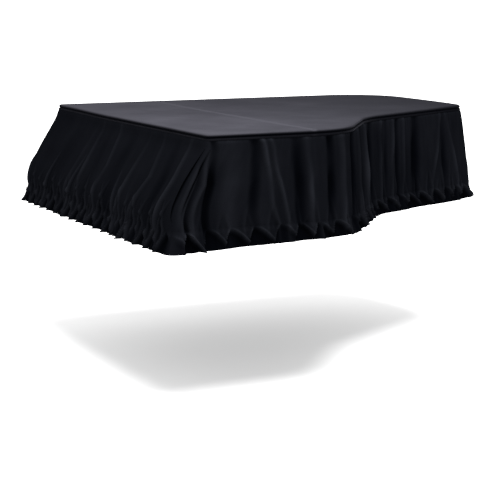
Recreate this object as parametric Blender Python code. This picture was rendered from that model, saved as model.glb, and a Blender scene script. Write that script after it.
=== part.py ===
"""Fitted cloth cover for a grand piano, modelled in the shape in which it hangs.

The top lies flat on the closed lid. A narrow band turns its edge down, gathered skirt panels hang from the band,
and a pleated ruffle is sewn round the hem. In front the cloth slopes forward over the closed keyboard.
+X is the treble side, -Y is the keyboard side, +Z is up. The origin is under the top, where the lid carries it.
"""

import math

import bmesh
import bpy
from mathutils import Vector

SHEET = 0.002
SEAM_GAP = 0.0003
LID_HALF_WIDTH = 0.755
ORIGIN_BEHIND_FRONT = 0.74
TOP_SEAM_Y = 0.442
CHEEK_SEAM_Y = 0.46
BAND_ROLL = 0.012
BAND_DROP = 0.021
KNEE_DROP = 0.25
RUFFLE_SEAM_DROP = 0.337
HEM_DROP = 0.412

# The lid seen from above, anticlockwise from the bass end of its front edge, with y measured from that edge.
# corner, x, y, radius of its rounding
LID_CORNERS = (
    ("bass_front", -0.768, -0.008, 0.018),
    ("treble_front", LID_HALF_WIDTH, 0.0, 0.018),
    ("cheek_end", LID_HALF_WIDTH, 0.587, 0.38),
    ("waist", 0.337, 0.911, 0.55),
    ("tail_treble", 0.0, 1.628, 0.10),
    ("tail_middle", -0.25, 1.648, 1.3),
    ("tail_bass", -LID_HALF_WIDTH, 1.602, 0.28),
)
FRONT_CORNERS = ("bass_front", "treble_front")

# How the cloth falls: drop below the top, how far its front comes forward over the keyboard,
# how far it stands out all round, how strong the ruffle's pleats are there
FALL = (
    (0.0, 0.000, 0.000, 0.00),
    (BAND_DROP, 0.002, 0.001, 0.00),
    (0.055, 0.012, 0.004, 0.00),
    (0.10, 0.039, 0.007, 0.00),
    (0.175, 0.083, 0.012, 0.00),
    (KNEE_DROP, 0.122, 0.016, 0.02),
    (0.285, 0.134, 0.018, 0.06),
    (0.316, 0.138, 0.019, 0.12),
    (RUFFLE_SEAM_DROP, 0.134, 0.020, 0.22),
    (0.372, 0.134, 0.020, 0.75),
    (HEM_DROP, 0.134, 0.020, 1.00),
)

# How much of that stand-out each panel has where it starts and in its middle,
# and how much further the ruffle below it stands out at the hem in the same two places
FLARE = (
    ("front_apron", 0.8, 0.9, 0.014, 0.030),
    ("cheek_skirt", 1.0, 1.0, 0.024, 0.014),
    ("bent_side_skirt", 1.2, 1.8, 0.016, 0.023),
    ("tail_skirt", 2.3, 2.2, 0.013, 0.012),
    ("spine_skirt", 1.5, 0.9, 0.009, 0.010),
)

SKIRT_FLARE = 1
HEM_FLARE = 3

PLEAT_PITCH = 0.086
PLEAT_HEIGHT = 0.013
PLEAT_LEAN = 0.004

# How the pleats' spacing and strength wander on one lap round the cover: waves, shift, size
PLEAT_SPACING = ((5, 0.0, 0.9), (13, math.pi, 0.6))
PLEAT_STRENGTH = ((17, 0.5, 0.16), (29, 0.0, 0.12))

# The skirt's main folds, ridges above zero and troughs below it: place along the panel at the band, halfway
# and at the ruffle as a share of its length, half width, height at the band, halfway and at the ruffle
FRONT_FOLDS = (
    (0.22, 0.21, 0.20, 0.080, 0.000, -0.003, -0.004),
    (0.34, 0.33, 0.31, 0.045, 0.000, 0.004, 0.005),
    (0.37, 0.39, 0.38, 0.035, 0.002, 0.004, 0.004),
    (0.44, 0.45, 0.44, 0.050, 0.000, -0.003, -0.004),
    (0.49, 0.53, 0.505, 0.032, 0.001, 0.006, 0.007),
    (0.60, 0.60, 0.60, 0.070, 0.000, -0.004, -0.005),
    (0.69, 0.69, 0.68, 0.032, 0.000, 0.005, 0.008),
    (0.77, 0.81, 0.76, 0.032, 0.001, 0.007, 0.009),
    (0.86, 0.88, 0.87, 0.050, 0.000, -0.006, -0.006),
    (0.93, 0.94, 0.93, 0.030, 0.001, 0.009, 0.011),
)
CHEEK_FOLDS = (
    (0.01, 0.11, 0.10, 0.026, 0.002, 0.010, 0.009),
    (0.05, 0.17, 0.20, 0.026, -0.003, -0.012, -0.008),
    (0.18, 0.29, 0.34, 0.075, 0.004, 0.010, 0.009),
    (0.42, 0.50, 0.53, 0.032, -0.004, -0.011, -0.009),
    (0.48, 0.61, 0.70, 0.024, 0.004, 0.008, 0.007),
    (0.56, 0.69, 0.77, 0.024, 0.003, 0.007, 0.005),
    (0.78, 0.84, 0.87, 0.032, -0.003, -0.009, -0.010),
    (0.88, 0.92, 0.94, 0.030, 0.004, 0.007, 0.008),
)
BENT_SIDE_FOLDS = (
    (0.035, 0.035, 0.035, 0.030, -0.006, -0.008, -0.006),
    (0.085, 0.085, 0.080, 0.034, 0.004, 0.009, 0.008),
    (0.155, 0.150, 0.140, 0.036, -0.006, -0.010, -0.008),
    (0.250, 0.240, 0.220, 0.050, 0.004, 0.008, 0.009),
    (0.310, 0.300, 0.290, 0.040, -0.004, -0.006, -0.007),
    (0.395, 0.350, 0.340, 0.045, 0.005, 0.009, 0.009),
    (0.460, 0.435, 0.420, 0.040, -0.006, -0.012, -0.012),
    (0.525, 0.510, 0.500, 0.030, 0.006, 0.008, 0.008),
    (0.550, 0.540, 0.530, 0.022, -0.004, -0.006, -0.005),
    (0.585, 0.570, 0.560, 0.022, 0.005, 0.007, 0.007),
    (0.615, 0.600, 0.590, 0.022, -0.005, -0.007, -0.008),
    (0.645, 0.635, 0.625, 0.026, 0.005, 0.008, 0.007),
    (0.715, 0.700, 0.690, 0.050, -0.006, -0.010, -0.011),
    (0.860, 0.820, 0.775, 0.028, 0.005, 0.009, 0.007),
    (0.870, 0.860, 0.855, 0.034, -0.002, -0.006, -0.008),
    (0.885, 0.910, 0.930, 0.028, 0.004, 0.009, 0.008),
)
HIDDEN_FOLD_PITCH = 0.10
HIDDEN_FOLD_HEIGHT = 0.008
HIDDEN_FOLD_TOP_SHARE = 0.4
HIDDEN_FOLD_FILL = 0.9
HIDDEN_FOLD_STRAY = (2.3, 0.3)
HIDDEN_FOLD_UNEVEN = (1.7, 0.25)
FOLD_CLEAR_OF_ENDS = 0.03
SHARE_STEP = 0.002

# Each skirt panel with its folds and the columns of its mesh, and the ruffle below each
PANELS = (
    ("front_apron", FRONT_FOLDS, 68),
    ("cheek_skirt", CHEEK_FOLDS, 36),
    ("bent_side_skirt", BENT_SIDE_FOLDS, 80),
    ("tail_skirt", None, 36),
    ("spine_skirt", None, 52),
)
RUFFLES = (
    ("front_ruffle", 100),
    ("cheek_ruffle", 42),
    ("bent_side_ruffle", 92),
    ("tail_ruffle", 56),
    ("spine_ruffle", 104),
)
SKIRT_DROPS = (BAND_DROP, 0.055, 0.10, 0.175, KNEE_DROP, 0.285, 0.316, RUFFLE_SEAM_DROP)
RUFFLE_DROPS = (RUFFLE_SEAM_DROP, 0.372, HEM_DROP)
STRAIGHT_STEP = 0.15
ARC_STEP = math.radians(11)

# The band's section, from the top's edge over the roll to the skirt seam: stand-out, height
BAND_SECTION = (
    (-BAND_ROLL, 0.0010),
    (-0.0050, 0.0002),
    (-0.0008, -0.0045),
    (0.0008, -0.0110),
    (0.0008, -BAND_DROP),
)

# The slit down each front corner, where the front flap is left open: top, bottom, widest gap
SLIT_TOP = 0.05
SLIT_BOTTOM = 0.30
SLIT_WIDTH = 0.005

CLOTH_BLACK = (0.0065, 0.0068, 0.0085, 1.0)


def blend_rows(rows, place, column):
    """The value in a column of rows at a place between two rows, where column 0 holds the places."""
    if place <= rows[0][0]:
        return rows[0][column]
    for low, high in zip(rows, rows[1:]):
        if place <= high[0]:
            share = (place - low[0]) / (high[0] - low[0])
            return low[column] + share * (high[column] - low[column])
    return rows[-1][column]


class Outline:
    """The cover's outline at one drop, as straight runs and arcs, from the middle of the bass front corner."""

    def __init__(self, front_reach):
        corners = [
            (Vector((x, y - front_reach if name in FRONT_CORNERS else y)), radius)
            for name, x, y, radius in LID_CORNERS
        ]
        arcs = [
            self.arc(corners[i - 1][0], here, corners[(i + 1) % len(corners)][0], radius)
            for i, (here, radius) in enumerate(corners)
        ]
        self.runs = []
        self.corner_middle = {}
        self.corner_end = {}
        self.length = 0.0
        for i, (start, heading, turn, radius) in enumerate(arcs):
            after = arcs[(i + 1) % len(arcs)]
            length = abs(turn) * radius
            if i == 0:
                middle = self.point_of((start, heading, turn, radius, length), length / 2)[0]
                self.add(middle, heading + turn / 2, turn / 2, radius)
            else:
                self.corner_middle[LID_CORNERS[i][0]] = self.length + length / 2
                self.add(start, heading, turn, radius)
            self.corner_end[LID_CORNERS[i][0]] = self.length
            end = self.end_of(start, heading, turn, radius)
            self.add(end, heading + turn, 0.0, (after[0] - end).length)
        start, heading, turn, radius = arcs[0]
        self.add(start, heading, turn / 2, radius)
        cheek_start = self.corner_end["treble_front"]
        self.stations = (
            0.0,
            self.corner_middle["treble_front"],
            cheek_start + CHEEK_SEAM_Y - self.at(cheek_start)[0].y,
            self.corner_middle["tail_treble"],
            self.corner_end["tail_bass"],
            self.length,
        )

    @staticmethod
    def arc(before, here, after, radius):
        """Where a corner's arc starts, its heading there, its turn, to the left above zero, and its radius."""
        incoming = here - before
        outgoing = after - here
        heading = math.atan2(incoming.y, incoming.x)
        turn = math.atan2(outgoing.y, outgoing.x) - heading
        turn = (turn + math.pi) % (2 * math.pi) - math.pi
        start = here - incoming.normalized() * radius * math.tan(abs(turn) / 2)
        return start, heading, turn, radius

    @staticmethod
    def outward(heading):
        return Vector((math.sin(heading), -math.cos(heading)))

    def end_of(self, start, heading, turn, radius):
        return self.point_of((start, heading, turn, radius, abs(turn) * radius), abs(turn) * radius)[0]

    def add(self, start, heading, turn, size):
        """Adds an arc of that radius, or where turn is nothing a straight run of that length."""
        length = abs(turn) * size if turn else size
        self.runs.append((start, heading, turn, size, length))
        self.length += length

    def point_of(self, run, along):
        start, heading, turn, size, length = run
        if not turn:
            return start + Vector((math.cos(heading), math.sin(heading))) * along, heading
        side = math.copysign(size, turn)
        centre = start - self.outward(heading) * side
        heading_here = heading + turn * along / length
        return centre + self.outward(heading_here) * side, heading_here

    def at(self, distance):
        """The point and outward direction that far along the outline."""
        distance %= self.length
        for run in self.runs:
            if distance <= run[4]:
                point, heading = self.point_of(run, distance)
                return point, self.outward(heading)
            distance -= run[4]
        return self.runs[0][0].copy(), self.outward(self.runs[0][1])

    def places(self):
        """Distances along the outline that its arcs and straight runs need to keep their shape."""
        found = []
        start = 0.0
        for run in self.runs:
            turn, length = run[2], run[4]
            steps = max(1, math.ceil(abs(turn) / ARC_STEP if turn else length / STRAIGHT_STEP))
            found += [start + length * i / steps for i in range(steps)]
            start += length
        return found


def outline_at(drop):
    return Outline(blend_rows(FALL, drop, 1))


SEAM_OUTLINE = outline_at(RUFFLE_SEAM_DROP)
PLEATS = round(SEAM_OUTLINE.length / PLEAT_PITCH)


def lap_of(distance):
    return 2 * math.pi * distance / SEAM_OUTLINE.length


def wander(rows, distance):
    """An unevenness, as in hand-drawn gathers, that joins up with itself round the cover."""
    return sum(size * math.sin(waves * lap_of(distance) + shift) for waves, shift, size in rows)


def pleat_phase(distance):
    """The turn of the ruffle's pleats at a distance along its seam."""
    return PLEATS * lap_of(distance) + wander(PLEAT_SPACING, distance)


def at_depth(top, halfway, bottom, depth):
    """A fold's value at a depth, running evenly from the band to halfway and on to the ruffle."""
    if depth < 0.5:
        return top + 2 * depth * (halfway - top)
    return halfway + (2 * depth - 1) * (bottom - halfway)


def fold_height(folds, share, depth, length):
    """How far the main folds push the cloth out, depth running from 0 at the band to 1 at the ruffle."""
    height = 0.0
    for top, halfway, bottom, half_width, top_height, halfway_height, bottom_height in folds:
        apart = abs(share - at_depth(top, halfway, bottom, depth)) * length / half_width
        if apart < 1.0:
            ridge = at_depth(top_height, halfway_height, bottom_height, depth)
            height += ridge * (1 + math.cos(math.pi * apart)) / 2
    return height


def even_folds(length):
    """Plain folds for a panel that hangs out of sight, a row for each ridge or trough."""
    count = 2 * round(length / HIDDEN_FOLD_PITCH)
    stray_turn, stray = HIDDEN_FOLD_STRAY
    uneven_turn, uneven = HIDDEN_FOLD_UNEVEN
    rows = []
    for i in range(1, count):
        place = (i + stray * math.sin(stray_turn * i)) / count
        height = HIDDEN_FOLD_HEIGHT * (1 if i % 2 else -1) * (1 + uneven * math.sin(uneven_turn * i))
        top_height = HIDDEN_FOLD_TOP_SHARE * height
        rows.append((place, place, place, HIDDEN_FOLD_FILL * length / count, top_height, height, height))
    return tuple(rows)


def in_part(x, y, z):
    """A point with y measured from the lid's front edge, in the part's own frame."""
    return Vector((x, y - ORIGIN_BEHIND_FRONT, z))


def flare_at(panel, share, column):
    """A value of the flare at a place along a panel, eased between its start, middle and end."""
    start, middle = FLARE[panel][column : column + 2]
    end = FLARE[(panel + 1) % len(FLARE)][column]
    low, high, part = (start, middle, 2 * share) if share < 0.5 else (middle, end, 2 * share - 1)
    part = min(1.0, max(0.0, part))
    return low + (high - low) * (1 - math.cos(math.pi * part)) / 2


def cloth_place(panel, folds, share, drop, outline):
    """Where the hanging cloth's middle is, seen from above: a share of the way along a panel, at a drop."""
    stations = outline.stations
    length = stations[panel + 1] - stations[panel]
    point, outward = outline.at(stations[panel] + share * length)
    along = Vector((-outward.y, outward.x))
    seam_length = SEAM_OUTLINE.stations[panel + 1] - SEAM_OUTLINE.stations[panel]
    seam_distance = SEAM_OUTLINE.stations[panel] + share * seam_length
    depth = min(1.0, max(0.0, (drop - BAND_DROP) / (RUFFLE_SEAM_DROP - BAND_DROP)))
    below_seam = max(0.0, (drop - RUFFLE_SEAM_DROP) / (HEM_DROP - RUFFLE_SEAM_DROP))
    from_end = min(share, 1 - share) * length / FOLD_CLEAR_OF_ENDS
    fade = (1.0 - 0.5 * below_seam) * min(1.0, max(0.0, from_end))
    pleat = (1 + wander(PLEAT_STRENGTH, seam_distance)) * blend_rows(FALL, drop, 3)
    phase = pleat_phase(seam_distance)
    out = blend_rows(FALL, drop, 2) * flare_at(panel, share, SKIRT_FLARE)
    out += below_seam * flare_at(panel, share, HEM_FLARE)
    out += fade * fold_height(folds, share, depth, length)
    out += PLEAT_HEIGHT * pleat * math.cos(phase)
    return point + outward * out + along * PLEAT_LEAN * pleat * math.sin(2 * phase)


def sheet_point(panel, folds, share, drop, outline, side):
    """A point on the outer side of the hanging cloth where side is 1, and on its inner side where it is -1."""
    here = cloth_place(panel, folds, share, drop, outline)
    ahead = cloth_place(panel, folds, share + SHARE_STEP, drop, outline)
    behind = cloth_place(panel, folds, share - SHARE_STEP, drop, outline)
    along = (ahead - behind).normalized()
    point = here + Vector((along.y, -along.x)) * side * SHEET / 2
    return in_part(point.x, point.y, -drop)


def slit_gap(drop):
    """How far the front flap's edge stands off the corner at a drop."""
    share = (drop - SLIT_TOP) / (SLIT_BOTTOM - SLIT_TOP)
    return SLIT_WIDTH * math.sin(math.pi * share) if 0 < share < 1 else 0.0


def make_material(name):
    material = bpy.data.materials.new(name)
    material.use_nodes = True
    shader = material.node_tree.nodes["Principled BSDF"]
    shader.inputs["Base Color"].default_value = CLOTH_BLACK
    shader.inputs["Roughness"].default_value = 0.6
    shader.inputs["Metallic"].default_value = 0.0
    return material


def finish_object(name, bm):
    """Makes the bmesh a named object in its own cloth."""
    mesh = bpy.data.meshes.new(name)
    bm.to_mesh(mesh)
    bm.free()
    mesh.materials.append(make_material(name + "_cloth"))
    mesh.shade_smooth()
    piece = bpy.data.objects.new(name, mesh)
    bpy.context.scene.collection.objects.link(piece)
    return piece


def thicken(piece):
    thickness = piece.modifiers.new("cloth_thickness", "SOLIDIFY")
    thickness.thickness = SHEET
    thickness.offset = 0.0


def make_hanging_sheet(name, panel, folds, columns, drops, slit=False):
    """A skirt panel or a length of ruffle: a flat slab of cells, each corner laid on the hanging cloth."""
    rows = len(drops) - 1
    outlines = [outline_at(drop) for drop in drops]
    length = outlines[0].stations[panel + 1] - outlines[0].stations[panel]
    bm = bmesh.new()
    bmesh.ops.create_grid(bm, x_segments=columns, y_segments=rows, size=0.5)
    slab = bmesh.ops.extrude_face_region(bm, geom=bm.faces[:], use_keep_orig=True)
    for item in slab["geom"]:
        if isinstance(item, bmesh.types.BMVert):
            item.co.z = 1.0
    bmesh.ops.recalc_face_normals(bm, faces=bm.faces)
    for vertex in bm.verts:
        row = round((0.5 - vertex.co.y) * rows)
        gap = SEAM_GAP / 2 + (slit_gap(drops[row]) if slit else 0.0)
        share = (gap + (vertex.co.x + 0.5) * (length - 2 * gap)) / length
        drop = drops[row] + (SEAM_GAP if row == 0 else 0.0)
        side = 1 if vertex.co.z else -1
        vertex.co = sheet_point(panel, folds, share, drop, outlines[row], side)
    finish_object(name, bm)


def make_band():
    """The strip that rolls over the lid's edge all round, closed on itself."""
    outline = Outline(0.0)
    bm = bmesh.new()
    rings = []
    for stand_out, height in BAND_SECTION:
        ring = []
        for place in outline.places():
            point, outward = outline.at(place)
            point = point + outward * stand_out
            ring.append(bm.verts.new(in_part(point.x, point.y, height)))
        rings.append([bm.edges.new((ring[i - 1], ring[i])) for i in range(len(ring))])
    for upper, lower in zip(rings, rings[1:]):
        bmesh.ops.bridge_loops(bm, edges=upper + lower)
    bmesh.ops.recalc_face_normals(bm, faces=bm.faces)
    thicken(finish_object("edge_band", bm))


def make_top():
    """The two flat widths of cloth that meet at the seam across the top."""
    outline = Outline(0.0)
    for name, side in (("top_front_panel", -1), ("top_rear_panel", 1)):
        bm = bmesh.new()
        edge = []
        for place in outline.places():
            point, outward = outline.at(place)
            point = point - outward * (BAND_ROLL + SEAM_GAP)
            edge.append(bm.verts.new((point.x, point.y, 0.0)))
        face = bm.faces.new(edge)
        bmesh.ops.bisect_plane(
            bm,
            geom=[face, *face.edges, *face.verts],
            plane_co=(0.0, TOP_SEAM_Y + side * SEAM_GAP / 2, 0.0),
            plane_no=(0.0, side, 0.0),
            clear_inner=True,
        )
        for vertex in bm.verts:
            vertex.co = in_part(vertex.co.x, vertex.co.y, SHEET / 2)
        thicken(finish_object(name, bm))


def main():
    for old in list(bpy.data.objects):
        bpy.data.objects.remove(old)
    make_top()
    make_band()
    stations = SEAM_OUTLINE.stations
    for panel, (name, folds, columns) in enumerate(PANELS):
        folds = folds or even_folds(stations[panel + 1] - stations[panel])
        make_hanging_sheet(name, panel, folds, columns, SKIRT_DROPS, slit=name == "front_apron")
        ruffle, ruffle_columns = RUFFLES[panel]
        make_hanging_sheet(ruffle, panel, folds, ruffle_columns, RUFFLE_DROPS)


main()
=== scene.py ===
# %% [markdown]
# A fitted grand piano cover, as a lesson in sewn cloth.
# The real cover is cut like a coat for a lid: a flat top in two widths, a narrow band that turns the edge,
# skirt panels that hang from it, a sloping apron over the keyboard, and a pleated ruffle round the hem.
# Each of those is one piece here too, so that seams fall where a maker would sew them.

# %% Load the measured frame
import math

import bmesh
import bpy
from mathutils import Matrix, Vector, noise


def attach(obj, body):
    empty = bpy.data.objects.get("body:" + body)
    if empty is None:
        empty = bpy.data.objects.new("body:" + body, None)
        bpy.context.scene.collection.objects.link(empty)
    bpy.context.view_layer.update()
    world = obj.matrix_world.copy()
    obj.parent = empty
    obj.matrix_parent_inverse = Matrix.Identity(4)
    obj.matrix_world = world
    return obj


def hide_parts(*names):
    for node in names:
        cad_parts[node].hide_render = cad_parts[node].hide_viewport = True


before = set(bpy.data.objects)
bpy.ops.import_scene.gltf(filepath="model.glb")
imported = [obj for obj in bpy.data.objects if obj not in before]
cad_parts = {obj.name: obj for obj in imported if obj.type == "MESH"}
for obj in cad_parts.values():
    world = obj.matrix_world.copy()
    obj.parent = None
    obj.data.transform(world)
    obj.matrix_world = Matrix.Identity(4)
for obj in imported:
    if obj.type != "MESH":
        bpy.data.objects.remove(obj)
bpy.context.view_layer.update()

# %% [markdown]
# Everything is worked out from a few sizes that a maker would take off the piano with a tape: the lid's
# width, where the cross seam lies, how far the skirt and the ruffle hang, and how far the front reaches
# over the keys. Distances are in metres. The frame's origin is under the top, 0.74 m behind the lid's front
# edge.

# %% Sizes taken off the lid
LID_HALF_WIDTH = 0.755
ORIGIN_BEHIND_FRONT = 0.74
TOP_SEAM_Y = 0.442
CHEEK_SEAM_Y = 0.46
BAND_ROLL = 0.012
BAND_DROP = 0.021
RUFFLE_SEAM_DROP = 0.337
HEM_DROP = 0.412
CLOTH_THICKNESS = 0.0012

LID_CORNERS = (
    ("bass_front", -0.768, -0.008, 0.018),
    ("treble_front", LID_HALF_WIDTH, 0.0, 0.018),
    ("cheek_end", LID_HALF_WIDTH, 0.587, 0.32),
    ("waist", 0.337, 0.911, 0.38),
    ("tail_treble", 0.0, 1.628, 0.10),
    ("tail_middle", -0.25, 1.648, 1.3),
    ("tail_bass", -LID_HALF_WIDTH, 1.602, 0.28),
)
FRONT_CORNERS = ("bass_front", "treble_front")
print("lid corners:", [name for name, *_ in LID_CORNERS])

# %% [markdown]
# The lid seen from above is straight runs joined by arcs. A pattern cutter walks a tape along that line, so
# the class below does the same: it turns a distance along the edge into a point and the direction facing
# outwards. Lower down, the front of the cover stands forward over the keyboard, so each height has an
# outline of its own.


# %% The lid's outline as a tape line
class TapeLine:
    """The outline at one height, as straight runs and arcs, from the middle of the bass front corner."""

    def __init__(self, reach):
        corners = [
            (Vector((x, y - reach if name in FRONT_CORNERS else y)), radius)
            for name, x, y, radius in LID_CORNERS
        ]
        self.runs = []
        self.length = 0.0
        self.middle = {}
        self.end = {}
        arcs = [self.arc(corners, i) for i in range(len(corners))]
        for i, (name, *_) in enumerate(LID_CORNERS):
            start, heading, turn, radius = arcs[i]
            after = arcs[(i + 1) % len(arcs)][0]
            finish = self.on_arc(start, heading, turn, radius, 1.0)[0]
            if i == 0:
                start = self.on_arc(start, heading, turn, radius, 0.5)[0]
                heading, turn = heading + turn / 2, turn / 2
            self.middle[name] = self.length + abs(turn) * radius / 2
            self.add(start, heading, turn, radius, abs(turn) * radius)
            self.end[name] = self.length
            self.add(finish, heading + turn, 0.0, 0.0, (after - finish).length)
        start, heading, turn, radius = arcs[0]
        self.add(start, heading, turn / 2, radius, abs(turn) * radius / 2)
        cheek_start = self.end["treble_front"]
        self.stations = (
            0.0,
            self.middle["treble_front"],
            cheek_start + CHEEK_SEAM_Y - self.at(cheek_start)[0].y,
            self.middle["tail_treble"],
            self.end["tail_bass"],
            self.length,
        )

    @staticmethod
    def arc(corners, i):
        """Where a corner's arc starts, its heading there, its turn (left is positive) and its radius."""
        here, radius = corners[i]
        incoming = here - corners[i - 1][0]
        outgoing = corners[(i + 1) % len(corners)][0] - here
        heading = math.atan2(incoming.y, incoming.x)
        turn = math.atan2(outgoing.y, outgoing.x) - heading
        turn = (turn + math.pi) % (2 * math.pi) - math.pi
        return here - incoming.normalized() * radius * math.tan(abs(turn) / 2), heading, turn, radius

    @staticmethod
    def on_arc(start, heading, turn, radius, part):
        """The point that part of the way round an arc, and the heading there."""
        here = heading + turn * part
        side = math.copysign(radius, turn)
        step = Vector((math.sin(here) - math.sin(heading), math.cos(heading) - math.cos(here)))
        return start + step * side, here

    def add(self, start, heading, turn, radius, length):
        self.runs.append((start, heading, turn, radius, length))
        self.length += length

    def at(self, distance):
        """The point and the outward direction that far along the line."""
        distance %= self.length
        for start, heading, turn, radius, length in self.runs:
            if distance <= length:
                break
            distance -= length
        if turn:
            point, heading = self.on_arc(start, heading, turn, radius, distance / length)
        else:
            point = start + Vector((math.cos(heading), math.sin(heading))) * distance
        return point, Vector((math.sin(heading), -math.cos(heading)))


lid_line = TapeLine(0.0)
print("once round the lid:", round(lid_line.length, 3), "m")

# %% [markdown]
# How the cloth falls is a short table, read down the side of the cover: how far the front comes forward
# over the keys and how far the cloth stands out all round. The front slopes evenly to a soft knee where it
# clears the key slip, and the ruffle's seam nips it in again. A second table says how much each side stands
# out. Along the straight side the lid's hinges lift the cloth by a few millimetres, and further down
# nothing is felt of that.

# %% How the cloth falls
# drop below the top, reach of the front, stand-out all round
FALL = (
    (0.0, 0.000, 0.000),
    (BAND_DROP, 0.002, 0.001),
    (0.055, 0.012, 0.004),
    (0.10, 0.039, 0.007),
    (0.175, 0.083, 0.012),
    (0.25, 0.122, 0.016),
    (0.285, 0.134, 0.018),
    (0.316, 0.138, 0.019),
    (RUFFLE_SEAM_DROP, 0.134, 0.020),
    (HEM_DROP, 0.134, 0.020),
)
REACH, STAND_OUT = 1, 2
FALL_SOFTNESS = 0.012
# A row for each side: front, cheek, bent side, tail, spine. Columns, for the side's start and its middle:
# share of the stand-out, how far its ruffle's crests go beyond that at the hem, how much lower its hem hangs
FLARE = (
    (0.8, 0.9, 0.029, 0.040, 0.002, 0.003),
    (1.0, 1.0, 0.036, 0.024, 0.006, -0.003),
    (1.2, 1.8, 0.026, 0.034, -0.010, -0.010),
    (2.2, 2.2, 0.020, 0.021, 0.000, 0.000),
    (1.5, 0.9, 0.018, 0.020, 0.000, 0.000),
)
SKIRT_FLARE, HEM_FLARE, HEM_SAG = 0, 2, 4
FRONT, CHEEK, TAIL, SPINE = 0, 1, 3, 4
# How far the hinges lift the cloth, from where across the lid, over what run, and how far down it is felt
HINGE_RISE, HINGE_START, HINGE_RUN, HINGE_FADE = 0.004, -0.20, 0.45, 0.10


def between(rows, place, column):
    """The value in a column of rows at a place between two rows, where column 0 holds the places."""
    if place <= rows[0][0]:
        return rows[0][column]
    for low, high in zip(rows, rows[1:]):
        if place <= high[0]:
            share = (place - low[0]) / (high[0] - low[0])
            return low[column] + share * (high[column] - low[column])
    return rows[-1][column]


def fall(drop, column):
    """A value of the fall, averaged over a little height, because cloth bends softly."""
    steps = (-1.0, -0.5, 0.0, 0.5, 1.0)
    reach = min(FALL_SOFTNESS, drop)
    return sum(between(FALL, drop + step * reach, column) for step in steps) / len(steps)


def ease(low, high, part):
    part = min(1.0, max(0.0, part))
    return low + (high - low) * part * part * (3 - 2 * part)


def bell(apart):
    """A smooth hump that is 1 in its middle and 0 from 1 outwards."""
    return (1 + math.cos(math.pi * apart)) / 2 if abs(apart) < 1 else 0.0


def flare_at(panel, share, column):
    """A value of the flare at a place along a side, eased between its start, middle and end."""
    start, middle = FLARE[panel][column : column + 2]
    end = FLARE[(panel + 1) % len(FLARE)][column]
    if share < 0.5:
        return ease(start, middle, 2 * share)
    return ease(middle, end, 2 * share - 1)


def in_frame(point, z):
    return Vector((point.x, point.y - ORIGIN_BEHIND_FRONT, z))


def hinge_rise(x):
    """How far the lid's hinges lift the cloth along the straight bass side."""
    return HINGE_RISE * ease(0.0, 1.0, (HINGE_START - x) / HINGE_RUN)


seam_line = TapeLine(fall(RUFFLE_SEAM_DROP, REACH))
print("once round the ruffle seam:", round(seam_line.length, 3), "m")

# %% [markdown]
# Black cloth is all in its finish. This one is a fine twill: threads cross in diagonal ribs under a
# millimetre wide, and the fuzz on them catches light that grazes the cloth, which is why the flat top looks
# grey while the sides stay nearly black. Here that grey is partly the shader's sheen and mostly painted
# light in the top's colour. The ribs, a faint mottle of handling and the sewing are node groups, since all
# the pieces use them. UV coordinates are in metres on the cloth itself, so the ribs follow each panel's cut.


# %% Node groups for twill, handling and stitches
THREAD_SHARE, RIB_SHARE = 0.5, 0.33
DASH_SHARE = 0.7


def new_group(name, inputs, outputs):
    """A shader node group with plain float or vector sockets, and its input and output nodes."""
    group = bpy.data.node_groups.new(name, "ShaderNodeTree")
    for label, kind, value in inputs:
        socket = group.interface.new_socket(label, in_out="INPUT", socket_type=kind)
        if value is not None:
            socket.default_value = value
    for label, kind in outputs:
        group.interface.new_socket(label, in_out="OUTPUT", socket_type=kind)
    return group, group.nodes.new("NodeGroupInput"), group.nodes.new("NodeGroupOutput")


def math_node(tree, operation, first, second=None):
    """A Math node whose inputs are sockets or plain numbers."""
    node = tree.nodes.new("ShaderNodeMath")
    node.operation = operation
    for slot, value in enumerate((first, second)):
        if value is None:
            continue
        if isinstance(value, (int, float)):
            node.inputs[slot].default_value = value
        else:
            tree.links.new(value, node.inputs[slot])
    return node.outputs[0]


def build_twill_group():
    """Diagonal ribs, with the cross threads that break them up."""
    group, source, sink = new_group(
        "twill_ribs",
        (("Cloth", "NodeSocketVector", None), ("Ribs per metre", "NodeSocketFloat", 900.0)),
        (("Height", "NodeSocketFloat"),),
    )
    parts = group.nodes.new("ShaderNodeSeparateXYZ")
    group.links.new(source.outputs["Cloth"], parts.inputs[0])
    rate = math_node(group, "MULTIPLY", source.outputs["Ribs per metre"], 2 * math.pi)
    slanted = math_node(group, "ADD", parts.outputs["X"], parts.outputs["Y"])
    rib = math_node(group, "SINE", math_node(group, "MULTIPLY", slanted, rate))
    thread = math_node(group, "SINE", math_node(group, "MULTIPLY", parts.outputs["X"], rate))
    mixed = math_node(group, "ADD", rib, math_node(group, "MULTIPLY", thread, THREAD_SHARE))
    group.links.new(math_node(group, "MULTIPLY", mixed, RIB_SHARE), sink.inputs["Height"])
    return group


def build_handling_group():
    """Soft patches where the cloth has been rubbed, and the small crumples that packing leaves."""
    group, source, sink = new_group(
        "cloth_handling",
        (("Place", "NodeSocketVector", None),),
        (("Mottle", "NodeSocketFloat"), ("Crumple", "NodeSocketFloat")),
    )
    for label, scale, detail, roughness in (("Mottle", 7.0, 5.0, 0.62), ("Crumple", 26.0, 3.0, 0.5)):
        texture = group.nodes.new("ShaderNodeTexNoise")
        texture.inputs["Scale"].default_value = scale
        texture.inputs["Detail"].default_value = detail
        texture.inputs["Roughness"].default_value = roughness
        group.links.new(source.outputs["Place"], texture.inputs["Vector"])
        group.links.new(texture.outputs["Fac"], sink.inputs[label])
    return group


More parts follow.
